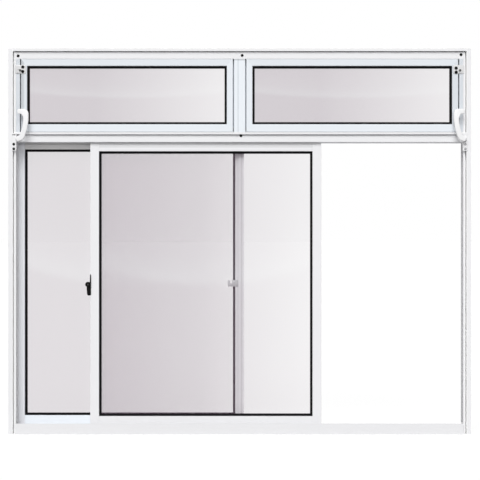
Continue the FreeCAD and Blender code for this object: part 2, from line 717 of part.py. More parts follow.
def build():
    os.makedirs("parts", exist_ok=True)
    pairs = {
        "frame_%s_jamb": left_jamb(),
        "%s_jamb_seal": left_jamb_seal(),
        "%s_vent_filler": left_filler(),
        "%s_pivot": left_pivot(),
    }
    for pattern, shape in pairs.items():
        save(shape, pattern % "left")
        save(mirrored(shape), pattern % "right")
    save(left_lever(0), "left_lever")
    save(left_lever_plate(0), "left_lever_plate")
    save(mirrored(left_lever(RIGHT_LEVER_OUT)), "right_lever")
    save(mirrored(left_lever_plate(RIGHT_LEVER_OUT)), "right_lever_plate")
    save(sill(), "frame_sill")
    save(head(), "frame_head")
    save(transom_bar(), "transom_bar")
    save(vent_mullion(), "vent_mullion")
    inner = MULLION_W / 2 + VENT_GAP
    outer = HALF - FILLER_EDGE - VENT_GAP
    groups = {
        "front_sash": front_sash(),
        "rear_sash": rear_sash(),
        "left_vent": vent(-outer, -inner),
        "right_vent": vent(inner, outer),
    }
    for group, pieces in groups.items():
        for part, shape in pieces.items():
            save(shape, "%s_%s" % (group, part))
    save(rollers(FRONT_SASH_LEFT, FRONT_SASH_W, FRONT_TRACK_Y), "front_sash_rollers")
    save(rollers(REAR_SASH_LEFT, REAR_SASH_W, REAR_TRACK_Y), "rear_sash_rollers")
    save(latch_body(), "latch_body")
    save(latch_cam(), "latch_cam")
    save(keeper(), "latch_keeper")


build()
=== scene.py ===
"""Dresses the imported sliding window: powder coat, glass, pile and nylon on its members, and the
gaskets, levers, pivots, latch, keeper and screws as finished pieces. Sizes are in millimetres,
and a piece's vertices become metres when it is made."""
import math

import bpy
import numpy as np
from bpy.props import FloatProperty, FloatVectorProperty, PointerProperty
from bpy.types import Operator, Panel, PropertyGroup
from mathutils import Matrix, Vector


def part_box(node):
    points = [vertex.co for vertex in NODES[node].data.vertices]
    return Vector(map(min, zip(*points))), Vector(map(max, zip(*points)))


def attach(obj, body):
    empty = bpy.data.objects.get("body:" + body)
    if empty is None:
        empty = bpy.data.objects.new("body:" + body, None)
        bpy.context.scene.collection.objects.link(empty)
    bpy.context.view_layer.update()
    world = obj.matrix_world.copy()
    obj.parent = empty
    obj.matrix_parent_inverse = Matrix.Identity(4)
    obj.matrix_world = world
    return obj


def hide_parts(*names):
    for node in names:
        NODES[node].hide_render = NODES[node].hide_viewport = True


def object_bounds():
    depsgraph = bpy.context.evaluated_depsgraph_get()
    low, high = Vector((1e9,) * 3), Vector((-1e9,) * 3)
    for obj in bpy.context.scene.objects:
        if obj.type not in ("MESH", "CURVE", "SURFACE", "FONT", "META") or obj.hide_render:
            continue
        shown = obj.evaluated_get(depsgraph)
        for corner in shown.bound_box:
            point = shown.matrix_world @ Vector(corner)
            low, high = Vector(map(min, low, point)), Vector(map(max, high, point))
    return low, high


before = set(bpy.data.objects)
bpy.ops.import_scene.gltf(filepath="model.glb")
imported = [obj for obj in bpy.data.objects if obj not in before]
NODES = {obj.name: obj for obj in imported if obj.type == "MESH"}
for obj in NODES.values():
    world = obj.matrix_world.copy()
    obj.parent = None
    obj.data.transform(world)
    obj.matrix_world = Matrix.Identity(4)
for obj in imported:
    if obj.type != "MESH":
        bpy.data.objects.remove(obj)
CAD_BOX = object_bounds()

bl_info = {
    "name": "Sliding window finish",
    "version": (1, 0, 0),
    "blender": (4, 5, 0),
    "location": "3D View > Sidebar > Window",
    "description": "Finishes and fittings of a sliding window with two vents",
    "category": "Object",
}

MM = 0.001


def node_box(name):
    """A node's lowest and highest corner in millimetres."""
    low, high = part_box(name)
    return np.array(low) / MM, np.array(high) / MM


# Where the frame's face and the lip behind it lie, half its width, and the top of the bar's
# face, which is BAR_FACE high and stands BAR_BEHIND behind the lip
FACE = node_box("frame_head")[0][1]
LIP = node_box("vent_mullion")[0][1]
HALF = CAD_BOX[1][0] / MM
BAR_FACE = 15.6
BAR_TOP = node_box("transom_bar")[0][2] + BAR_FACE
BAR_BEHIND = 6.0
SIDES = ((-1, "left"), (1, "right"))

# The gasket's lip as (distance inwards from the pocket's floor, distance from the pane's middle)
GASKET_LIP = [
    (0.6, 2.0), (0.6, 4.7), (7.2, 4.9), (8.0, 4.95), (8.9, 4.7), (9.8, 4.2), (10.2, 4.25),
    (10.8, 4.1), (11.6, 3.5), (12.5, 2.9), (13.2, 2.5), (13.4, 2.2), (13.2, 2.02), (7.0, 2.0),
]

# The levers: stops as (distance in from the frame's side, height over the bar, half width)
LEVER_STOPS = [
    (29.0, 61.8, 6.5), (37.3, 61.2, 7.0), (44.6, 58.0, 9.4), (47.8, 48.0, 7.2),
    (47.9, 35.0, 6.6), (45.4, 20.0, 6.5), (41.8, 8.0, 6.8), (36.4, -4.3, 7.0),
    (25.8, -10.0, 6.6),
]
LEVER_STAND = 13.0
LEVER_BOW = 4.0
LEVER_HALF_T = 3.5
LEVER_POWER = 4.2
RIGHT_LEVER_OUT = 7.8
BOSS_R = 6.0

# The lever plates and the pads behind them, as far in from the frame's side as their EDGE
# says, their two pits with a pin in each, and their screws
PLATE_EDGE = 8.9
PLATE_W = 12.5
PLATE_T = 2.4
PLATE_ROUND = 3.4
PAD_EDGE = 11.8
PAD_ROUND = 0.1
EAR_R = 7.5
PIT_R, PIT_DEPTH, PIT_WALL = 1.9, 1.3, 0.4
PIT_RISE = 1.9
PIT_HALF_GAP = 2.35
PIN_R = 1.5
PLATE_SCREW_X = 585.2
PLATE_SCREW_Z = (749.8, 737.4)

# The pivots: name, side, the screws' distance from the middle, their heights, the pin's distance
PIVOTS = (("left_pivot", -1, 562.9, (950.2, 938.6), 569.6),
          ("right_pivot", 1, 562.1, (947.6, 936.9), 572.0))
PIVOT_T = 1.8
PIVOT_ROUND = 3.0
PIVOT_LOWER = 1.2
KNUCKLE_X = 573.4
KNUCKLE_RISE = 5.6
KNUCKLE_R = 5.6
PIVOT_PIN_RISE = 1.6
PIVOT_PIN_R = 3.2

# The latch and its keeper, which stand higher than their solids by LATCH_RAISE and by
# KEEPER_BASE and KEEPER_TOP, as in the photo. The knob's ripple is its grip's count, depth
# and rows
LATCH_RAISE = 3.4
LATCH_BODY_H = 29.0
LATCH_SEAT = 1.6
KNOB_IN = 6.6
KNOB_R = 7.0
KNOB_DEPTH = 4.0
KNOB_RIPPLE = (10, 0.35, slice(1, 5))
ARM_T = 2.0
KEEPER_LEFT, KEEPER_BASE, KEEPER_TOP = 3.4, 1.6, 1.4
NOTCH_IN, NOTCH_W, NOTCH_DEPTH = 5.8, 5.2, 8.8
RIVETS = ((-7.3, 387.2), (-12.4, 391.6))
RIVET_R = 1.6

# The frame's screws as (x, z), and a screw's head in shares of its radius
HEAD_SCREWS = ((-575.1, 979.4), (6.7, 980.7), (575.1, 982.5))
BAR_SCREW = (3.6, 772.6)
DOME_HEIGHT, DOME_POWER, DOME_EDGE = 0.42, 2.6, 0.55
SLOT_HALF, SLOT_WALL, SLOT_END, SLOT_RUNOUT = 0.15, 0.06, 0.62, 0.16
SLOT_DEPTH, SLOT_FALL = 0.4, 1.15
SCREW_STAND, SCREW_ROOT = 0.15, 0.3
SCREW_TURN = 0.4

# Steps on rounded edges and corners, and the angle from which an edge stays sharp
EDGE_STEPS, CORNER_STEPS, BEND_STEPS = 5, 6, 4
SHARP = math.radians(40.0)

# The colour sockets of a Mix node, which share their names with its value sockets
MIX_LOW, MIX_HIGH, MIX_RESULT = 6, 7, 2

# Fixed tones
REAR_STILE = (0.825, 0.835, 0.87)
# The rear top rail's tone is painted shade: greyer than the cool coat, for the shade under the
# bar
REAR_TOP_RAIL_SHADE = (0.72, 0.71, 0.705)
RUBBER_DUST = (0.016, 0.016, 0.017)
WORN_BLACK = (0.012, 0.012, 0.012)
# Tint of the painted reflection on the panes
PAINTED_REFLECTION_TINT = (0.62, 0.66, 0.68)
PLATE_SCREW_STEEL = (0.44, 0.44, 0.45)
PIVOT_STEEL = (0.11, 0.11, 0.11)
PIN_STEEL = (0.07, 0.07, 0.07)


# Shader maths
class Wire:
    """A node's output. Sums on wires add Math nodes to the same tree."""

    def __init__(self, nodes, socket):
        self.nodes, self.socket = nodes, socket

    def maths(self, operation, *values):
        """One operation on numbers and wires."""
        return self.nodes.node("ShaderNodeMath", {"operation": operation},
                               dict(enumerate(values)))

    def __add__(self, other):
        return self.maths("ADD", self, other)

    def __sub__(self, other):
        return self.maths("SUBTRACT", self, other)

    def __rsub__(self, other):
        return self.maths("SUBTRACT", other, self)

    def __mul__(self, other):
        return self.maths("MULTIPLY", self, other)

    __radd__ = __add__
    __rmul__ = __mul__

    def size(self):
        """The value without its sign."""
        return self.maths("ABSOLUTE", self)

    def most(self, other):
        """The larger of two values."""
        return self.maths("MAXIMUM", self, other)

    def fade(self, distance):
        """exp(-value / distance)"""
        return self.maths("EXPONENT", self * (-1 / distance))

    def ramp(self, low, high, settings=None):
        """0 below low and 1 above high, straight between."""
        return self.nodes.node("ShaderNodeMapRange", settings,
                               {"Value": self, "From Min": low, "From Max": high})

    def step(self, low, high):
        """0 below low and 1 above high, smooth between."""
        return self.ramp(low, high, {"interpolation_type": "SMOOTHSTEP"})


class Nodes:
    """A shader tree and the one way to add nodes to it."""

    def __init__(self, tree):
        self.tree = tree

    def put(self, socket, value):
        """Links a socket to a wire, or gives it a constant."""
        if isinstance(value, Wire):
            self.tree.links.new(value.socket, socket)
        elif value is not None:
            colour = socket.type == "RGBA" and len(value) == 3
            socket.default_value = (*value, 1) if colour else value

    def add(self, kind, settings=None, values=None):
        """A node of this type, its settings first, then its sockets' values or links."""
        made = self.tree.nodes.new(kind)
        for key, value in (settings or {}).items():
            setattr(made, key, value)
        for key, value in (values or {}).items():
            self.put(made.inputs[key], value)
        return made

    def node(self, kind, settings=None, values=None, output=0):
        """Such a node's output."""
        return Wire(self, self.add(kind, settings, values).outputs[output])

    def seen(self):
        """1 on rays from the camera, straight, off a gloss or through glass, 0 on the rest."""
        paths = self.add("ShaderNodeLightPath").outputs
        straight, glossy, through = (
            Wire(self, paths[name])
            for name in ("Is Camera Ray", "Is Glossy Ray", "Is Transmission Ray"))
        return straight.most(glossy).most(through)


class Finish(Nodes):
    """A material with one Principled shader."""

    def __init__(self, name, **constants):
        self.material = bpy.data.materials.new(name)
        self.material.use_nodes = True
        super().__init__(self.material.node_tree)
        self.tree.nodes.clear()
        self.shader = self.add("ShaderNodeBsdfPrincipled")
        self.add("ShaderNodeOutputMaterial", {}, {"Surface": Wire(self, self.shader.outputs[0])})
        for socket, value in constants.items():
            self.set(socket.replace("_", " "), value)

    def set(self, socket, value):
        """Gives a socket of the shader a wire or a constant."""
        self.put(self.shader.inputs[socket], value)

    def place(self):
        """Where the point is on the object, in metres."""
        return self.node("ShaderNodeTexCoord", output="Object")

    def axes(self):
        """The place's x, y and z."""
        split = self.add("ShaderNodeSeparateXYZ", {}, {0: self.place()})
        return [Wire(self, output) for output in split.outputs]

    def stretched(self, scale):
        """The place with each axis scaled."""
        return self.node("ShaderNodeMapping", {}, {"Vector": self.place(), "Scale": scale})

    def noise(self, scale, detail=2.0, at=None):
        """A value that wanders about a half, with about scale waves to the metre."""
        return self.node("ShaderNodeTexNoise", {}, {
            "Vector": at or self.place(), "Scale": scale, "Detail": detail})

    def blend(self, factor, low, high):
        """A colour between two, by a factor."""
        return self.node("ShaderNodeMix", {"data_type": "RGBA"},
                         {"Factor": factor, MIX_LOW: low, MIX_HIGH: high}, MIX_RESULT)

    def bump(self, height, strength, distance, below=None):
        """A normal that follows a height, over the normal below it."""
        return self.node("ShaderNodeBump", {}, {
            "Strength": strength, "Distance": distance, "Height": height, "Normal": below})


def shade(colour, by):
    """A colour, darker or lighter."""
    return tuple(channel * by for channel in colour)


# Meshes
def grid(points, wrap_u=False, wrap_v=False, lid_start=False, lid_end=False):
    """Vertices and faces of a surface given as an array of points over (u, v). A wrapped
    direction joins its last row to its first, and a lid closes the first or last u row."""
    rows, cols = points.shape[:2]
    index = np.arange(rows * cols).reshape(rows, cols)
    if wrap_u:
        index = np.vstack([index, index[:1]])
    if wrap_v:
        index = np.hstack([index, index[:, :1]])
    faces = np.stack([index[:-1, :-1], index[:-1, 1:], index[1:, 1:], index[1:, :-1]], -1)
    faces = faces.reshape(-1, 4).tolist()
    ring = np.arange(cols)
    if lid_start:
        faces.append(ring[::-1].tolist())
    if lid_end:
        faces.append((ring + (rows - 1) * cols).tolist())
    return points.reshape(-1, 3), faces


def together(shells):
    """One vertex array and one face list out of several."""
    vertices, faces, count = [], [], 0
    for points, some in shells:
        vertices.append(points)
        faces += [[corner + count for corner in face] for face in some]
        count += len(points)
    return np.vstack(vertices), faces


def flipped(shell):
    """The shell with its faces turned over."""
    points, faces = shell
    return points, [face[::-1] for face in faces]


def outward(shell):
    """The shell with its faces turned so that its volume is positive: the sum over the faces
    of their area vectors times their middles, taken for all faces of one size at once."""
    points, faces = shell
    volume = 0.0
    for corners in {len(face) for face in faces}:
        rings = points[[face for face in faces if len(face) == corners]] - points.mean(0)
        areas = np.cross(rings, np.roll(rings, -1, 1)).sum(1)
        volume += (areas * rings.mean(1)).sum()
    return shell if volume > 0 else flipped(shell)


def piece(name, shells, finish, slot, replaces=()):
    """A finished object that rides on the window, from closed shells in millimetres."""
    vertices, faces = together([outward(shell) for shell in shells])
    mesh = bpy.data.meshes.new(name)
    mesh.from_pydata((vertices * MM).tolist(), [], faces)
    mesh.validate()
    mesh.shade_smooth()
    mesh.set_sharp_from_angle(angle=SHARP)
    mesh.materials.append(finish.material)
    made = bpy.data.objects.new(name, mesh)
    bpy.context.scene.collection.objects.link(made)
    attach(made, "root")
    if replaces:
        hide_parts(*replaces)


def dress(names, finish):
    """Gives kept nodes a finish."""
    for name in names:
        for slot in NODES[name].material_slots:
            slot.material = finish.material


def unit(vectors):
    """The vectors, each made one long."""
    return vectors / np.linalg.norm(vectors, axis=-1, keepdims=True)


def plate(outline, y_back, y_front, edge):
    """A plate in the window's plane with a rounded front edge: the closed outline of (x, z)
    points moves inwards by edge * (1 - cos t) while y goes to the front by edge * sin t."""
    outline = np.asarray(outline, float)
    ahead, behind = np.roll(outline, -1, 0), np.roll(outline, 1, 0)
    along = unit(ahead - behind)
    area = np.sum(outline[:, 0] * ahead[:, 1] - ahead[:, 0] * outline[:, 1])
    inward = np.stack([-along[:, 1], along[:, 0]], 1) * np.sign(area)
    turn = np.linspace(0, math.pi / 2, EDGE_STEPS)
    shift = np.concatenate([[0.0], edge * (1 - np.cos(turn))])
    toward = np.sign(y_front - y_back)
    depth = np.concatenate([[y_back], y_front - toward * edge * (1 - np.sin(turn))])
    x, z = np.moveaxis(outline + inward * shift[:, None, None], -1, 0)
    y = depth[:, None] * np.ones(len(outline))
    return grid(np.stack([x, y, z], -1), wrap_v=True, lid_start=True, lid_end=True)


def slab(x0, x1, z0, z1, radius, y_back, y_front, edge, pits):
    """A rounded rectangle with a worked front. Rows of constant z run over the front and home
    along the back; in the corners' zone their half width falls by r - sqrt(r^2 - k^2), with
    k the way into it. The front drops by edge * (1 - sqrt(1 - s^2)), where s goes from 1 on
    the outline to 0 at edge inside, and by the depth of each pit (x, z) inside its radius."""
    rows, columns = 130, 46
    half_x, half_z = (x1 - x0) / 2, (z1 - z0) / 2
    mid_x, mid_z = (x0 + x1) / 2, (z0 + z1) / 2
    z = np.linspace(-half_z, half_z, rows)[:, None]
    into = np.clip(np.abs(z) - half_z + radius, 0, radius)
    x = (half_x - radius + np.sqrt(radius ** 2 - into ** 2)) * np.linspace(-1, 1, columns)
    z = z * np.ones_like(x)
    away_x, away_z = np.abs(x) - half_x + radius, np.abs(z) - half_z + radius
    inside = (radius - np.hypot(np.maximum(away_x, 0), np.maximum(away_z, 0))
              - np.minimum(np.maximum(away_x, away_z), 0))
    near = np.clip(1 - inside / edge, 0, 1)
    drop = edge * (1 - np.sqrt(1 - near ** 2))
    for pit_x, pit_z in pits:
        away = np.hypot(x + mid_x - pit_x, z + mid_z - pit_z)
        drop += PIT_DEPTH * np.clip((PIT_R - away) / PIT_WALL, 0, 1)
    front = np.stack([x + mid_x, y_front + np.sign(y_back - y_front) * drop, z + mid_z], -1)
    back = front[:, [-1, 0]].copy()
    back[..., 1] = y_back
    return grid(np.concatenate([front, back], 1), wrap_v=True, lid_start=True, lid_end=True)


def ring_of(x0, x1, z0, z1, profile):
    """A closed profile of (distance inwards, y) carried round a rectangle, mitred at its
    corners: a point's place on a side is that side's line moved inwards by its distance."""
    inwards, y = np.asarray(profile, float).T
    sides = [(x0, 1, z0, 1), (x1, -1, z0, 1), (x1, -1, z1, -1), (x0, 1, z1, -1)]
    rows = [np.stack([x + by_x * inwards, y, z + by_z * inwards], -1)
            for x, by_x, z, by_z in sides]
    return grid(np.stack(rows), wrap_u=True, wrap_v=True)


def rounded(x0, x1, z0, z1, radius):
    """Outline of a rectangle whose corners are arcs of one radius."""
    turn = np.linspace(0, math.pi / 2, CORNER_STEPS)
    corners = [(x1 - radius, z1 - radius, 0), (x0 + radius, z1 - radius, 1),
               (x0 + radius, z0 + radius, 2), (x1 - radius, z0 + radius, 3)]
    return np.vstack([np.column_stack([x + radius * np.cos(turn + quarter * math.pi / 2),
                                       z + radius * np.sin(turn + quarter * math.pi / 2)])
                      for x, z, quarter in corners])


def smoothed(corners, cut):
    """Outline of straight sides whose corners are parabola arcs that start at cut from each
    corner, or near the side's middle where it is short: (1-t)^2 a + 2t(1-t) corner + t^2 b."""
    corners = np.asarray(corners, float)
    t = np.linspace(0, 1, BEND_STEPS)[:, None]
    rows = []
    for before, corner, after in zip(np.roll(corners, 1, 0), corners, np.roll(corners, -1, 0)):
        a, b = (corner + unit(side) * min(cut, np.linalg.norm(side) * 0.45)
                for side in (before - corner, after - corner))
        rows.append((1 - t) ** 2 * a + 2 * t * (1 - t) * corner + t ** 2 * b)
    return np.vstack(rows)


def turned(profile, x, z, steps=48, ripple=None):
    """A profile of (y, radius) turned round the line through x and z. With ripple = (count,
    depth, rows), those rows' radius is less by depth * (1 - cos(count * turn)) / 2."""
    turn = np.linspace(0, 2 * math.pi, steps, endpoint=False)
    y, radius = np.asarray(profile, float).T[:, :, None] * np.ones(steps)
    if ripple:
        count, depth, rows = ripple
        radius[rows] -= depth * (1 - np.cos(count * turn)) / 2
    points = np.stack([x + radius * np.cos(turn), y, z + radius * np.sin(turn)], -1)
    return grid(points, wrap_v=True, lid_start=True, lid_end=True)


def screw(x, z, seat, radius, turn=SCREW_TURN):
    """Pan head with a cross recess, in shares r of its radius. The dome's height goes by
    (1 - r^DOME_POWER)^DOME_EDGE. The recess is deep where the nearer of two turned axes is
    within a slot's half width, shallower outwards, and runs out before the rim."""
    angle = np.linspace(0, 2 * math.pi, 64, endpoint=False)
    rim, middle = np.linspace(1.0, 0.86, 5), np.linspace(0.8, 0.03, 15)
    r, a = np.meshgrid(np.concatenate([rim, middle]), angle, indexing="ij")
    arm = np.minimum(np.abs(r * np.cos(a + turn)), np.abs(r * np.sin(a + turn)))
    deep = (np.clip((SLOT_HALF - arm) / SLOT_WALL, 0, 1)
            * np.clip((SLOT_END - r) / SLOT_RUNOUT, 0, 1))
    height = radius * (DOME_HEIGHT * (1 - r ** DOME_POWER) ** DOME_EDGE
                       - SLOT_DEPTH * deep * (SLOT_FALL - r))
    head = np.stack([x + radius * r * np.cos(a), seat - SCREW_STAND - height,
                     z + radius * r * np.sin(a)], -1)
    root = head[:1].copy()
    root[..., 1] = seat + SCREW_ROOT
    return grid(np.vstack([root, head]), wrap_v=True, lid_start=True, lid_end=True)


def curve_through(points, count):
    """A smooth curve through points at even steps: on each span a cubic whose slopes at the
    points are half the difference of their neighbours."""
    points = np.asarray(points, float)
    padded = np.vstack([2 * points[0] - points[1], points, 2 * points[-1] - points[-2]])
    at = np.linspace(0, len(points) - 1, count)
    span = np.minimum(at.astype(int), len(points) - 2)
    t = (at - span)[:, None]
    p0, p1, p2, p3 = (padded[span + step] for step in range(4))
    return 0.5 * (2 * p1 + (p2 - p0) * t + (2 * p0 - 5 * p1 + 4 * p2 - p3) * t ** 2
                  + (3 * p1 - p0 - 3 * p2 + p3) * t ** 3)


# What a user may change
class WindowSizes(PropertyGroup):
    """Sizes of the fittings."""
    frame_screw: FloatProperty(
        name="Frame screw", description="Radius of the heads in the head and bar",
        default=3.8 * MM, min=MM, unit="LENGTH")
    pivot_screw: FloatProperty(
        name="Pivot screw", description="Radius of the heads in the pivots",
        default=4.2 * MM, min=MM, unit="LENGTH")
    plate_screw: FloatProperty(
        name="Plate screw", description="Radius of the heads in the lever plates",
        default=3.6 * MM, min=MM, unit="LENGTH")
    cast_edge: FloatProperty(
        name="Cast edge", description="Rounding of the plates' and pivots' front edges",
        default=0.9 * MM, min=0.1 * MM, unit="LENGTH")


class WindowColours(PropertyGroup):
    """Colours of the finishes."""
    coat: FloatVectorProperty(
        name="Powder coat", description="White of the frame and sashes",
        default=(0.84, 0.84, 0.855), subtype="COLOR", min=0, max=1)
    cool_coat: FloatVectorProperty(
        name="Cool powder coat", description="Cooler white of the rear sash and the vents",
        default=(0.80, 0.84, 0.885), subtype="COLOR", min=0, max=1)
    enamel: FloatVectorProperty(
        name="Lever enamel", description="White of levers, plates and pivots",
        default=(0.91, 0.91, 0.92), subtype="COLOR", min=0, max=1)
    rubber: FloatVectorProperty(
        name="Rubber", description="Black of the glazing gaskets",
        default=(0.003, 0.003, 0.0035), subtype="COLOR", min=0, max=1)
    black: FloatVectorProperty(
        name="Black fittings", description="Black of the latch and the screws",
        default=(0.003, 0.003, 0.003), subtype="COLOR", min=0, max=1)
    keeper: FloatVectorProperty(
        name="Keeper", description="Metal of the keeper",
        default=(0.58, 0.58, 0.59), subtype="COLOR", min=0, max=1)
    pile: FloatVectorProperty(
        name="Pile", description="Grey of the seal strips",
        default=(0.79, 0.79, 0.81), subtype="COLOR", min=0, max=1)
    glass: FloatVectorProperty(
        name="Glass", description="Tint of the panes seen from the room",
        default=(0.20, 0.11, 0.18), subtype="COLOR", min=0, max=1)
    nylon: FloatVectorProperty(
        name="Nylon", description="Dark grey of the rollers",
        default=(0.05, 0.05, 0.055), subtype="COLOR", min=0, max=1)


class WindowStage(PropertyGroup):
    """Camera and light."""
    eye: FloatVectorProperty(
        name="Eye", description="Where the camera stands", default=(0.001, -3.8426, 0.5013),
        subtype="TRANSLATION", unit="LENGTH")
    lens: FloatProperty(
        name="Lens", description="Focal length", default=111.1, min=10, unit="CAMERA")
    key: FloatProperty(
        name="Key lamp", description="Strength of the soft light from the upper left",
        default=2.15, min=0)
    fill: FloatProperty(
        name="Fill lamp", description="Strength of the weaker light from the upper right",
        default=0.39, min=0)
    ground: FloatProperty(
        name="Ground lamp", description="Strength of the light from the ground outside",
        default=1.25, min=0)
    sky: FloatProperty(
        name="Surrounding light", description="Strength of the light from all sides",
        default=0.35, min=0)


GROUPS = {"window_sizes": WindowSizes, "window_colours": WindowColours,
          "window_stage": WindowStage}


def size_of(name):
    """One of the user's sizes, in millimetres."""
    return getattr(bpy.context.scene.window_sizes, name) / MM


def colours():
    """The user's colours."""
    return bpy.context.scene.window_colours


# Finishes
def powder_coat(name, colour, stripes=()):
    """Satin powder coat: a fine orange peel under very faint broad unevenness. Each stripe is
    (axis, place, half width, share, end): across that axis the tone goes by that share towards
    the end, 0 for dark and 1 for light, with soft sides. The stripes are painted shade and
    painted light."""
    finish = Finish(name, Specular_IOR_Level=0.45)
    tone = finish.blend(finish.noise(6.0, 3.0), shade(colour, 0.985), shade(colour, 1.01))
    for axis, place, half, share, end in stripes:
        away = (finish.axes()[axis] - place * MM).size()
        stripe = 1 - away.step(0.6 * half * MM, half * MM)
        tone = finish.blend(stripe * share, tone, (end, end, end))
    finish.set("Base Color", tone)
    finish.set("Roughness", 0.33 + 0.1 * finish.noise(70.0, 3.0))
    peel = finish.bump(finish.noise(1300.0, 2.0), 0.22, 0.00012)
    finish.set("Normal", finish.bump(finish.noise(180.0, 1.0), 0.10, 0.0003, peel))
    return finish


def enamel(name, colour):
    """Smooth glossy enamel on a casting that is very slightly wavy."""
    finish = Finish(name, Specular_IOR_Level=0.5, Coat_Weight=0.35, Coat_Roughness=0.12)
    finish.set("Base Color", finish.blend(finish.noise(90.0), shade(colour, 0.98), colour))
    finish.set("Roughness", 0.22 + 0.08 * finish.noise(240.0))
    finish.set("Normal", finish.bump(finish.noise(260.0, 2.0), 0.18, 0.0004))
    return finish


def rubber(name, colour):
    """Matt extruded rubber with a dusting of grey and a fine grain."""
    finish = Finish(name, Specular_IOR_Level=0.12)
    dust = finish.noise(420.0, 4.0).step(0.5, 0.8)
    finish.set("Base Color", finish.blend(0.35 * dust, colour, RUBBER_DUST))
    finish.set("Roughness", 0.62 + 0.2 * finish.noise(300.0))
    finish.set("Normal", finish.bump(finish.noise(2600.0, 3.0), 0.3, 0.0001))
    return finish


def glass(node, colour, painted_shade_ramp, painted_reflection):
    """Thin glass: gloss over a tint that lets most light through. The tint's weight goes from
    near to far across the pane, a little smeared: painted shade, denser towards one side. A bowed
    strip of painted reflection lies on it: a lighter tint, sharp below, along z = z0 + bow * x^2,
    and fading upwards."""
    finish = Finish(node, Roughness=0.03, IOR=2.3)
    low, high = node_box(node)
    x, _, z = finish.axes()
    x = x - float(low[0] + high[0]) / 2 * MM
    # Painted shade: the tint is denser towards one side of the pane
    from_x, to_x, near, far = painted_shade_ramp
    smear = finish.noise(7.0, 3.0, finish.stretched((1.0, 1.0, 0.45))) - 0.5
    finish.set("Alpha", near + x.ramp(from_x, to_x) * (far - near) + smear * 0.012)
    # Painted reflection: a bowed lighter strip that fades upwards
    z0, bow, soft, reach, light = painted_reflection
    rise = z - x * x * bow - z0
    reflection_band = rise.step(0.0, soft) * rise.most(0.0).fade(reach)
    finish.set("Base Color", finish.blend(reflection_band * light, colour, PAINTED_REFLECTION_TINT))
    return finish


def pile(name, colour):
    """Woven pile: upright tufts a third of a millimetre apart, light tips over dark roots."""
    finish = Finish(name, Roughness=0.95, Specular_IOR_Level=0.1, Sheen_Weight=0.4)
    tuft = finish.noise(1.0, 3.0, finish.stretched((2600.0, 900.0, 420.0)))
    finish.set("Base Color", finish.blend(tuft.step(0.3, 0.7), shade(colour, 0.7),
                                          shade(colour, 1.2)))
    finish.set("Normal", finish.bump(tuft, 0.8, 0.0006))
    return finish


def nylon(name, colour):
    """Moulded nylon with a faint flow pattern."""
    finish = Finish(name, Specular_IOR_Level=0.4)
    finish.set("Base Color", finish.blend(finish.noise(120.0, 3.0), shade(colour, 0.85),
                                          shade(colour, 1.15)))
    finish.set("Roughness", 0.45 + 0.15 * finish.noise(500.0))
    finish.set("Normal", finish.bump(finish.noise(900.0), 0.2, 0.0002))
    return finish


def black_paint(name, colour):
    """Satin black with edges a little greyer where it is handled."""
    finish = Finish(name, Specular_IOR_Level=0.09)
    worn = finish.noise(350.0, 4.0).step(0.55, 0.85)
    finish.set("Base Color", finish.blend(0.5 * worn, colour, WORN_BLACK))
    finish.set("Roughness", 0.42 + 0.15 * finish.noise(800.0))
    finish.set("Normal", finish.bump(finish.noise(1500.0), 0.2, 0.0001))
    return finish


def steel(name, colour):
    """Brushed metal: fine scratches along X in gloss and relief."""
    finish = Finish(name, Metallic=1.0)
    brush = finish.noise(1.0, 4.0, finish.stretched((60.0, 2500.0, 2500.0)))
    finish.set("Base Color", finish.blend(brush, shade(colour, 0.8), shade(colour, 1.1)))
    finish.set("Roughness", 0.28 + 0.25 * brush)
    finish.set("Normal", finish.bump(brush, 0.25, 0.0001))
    return finish


# Operators
class WindowStep(Operator):
    """Makes or dresses part of the window, and can be undone."""
    bl_options = {"UNDO"}


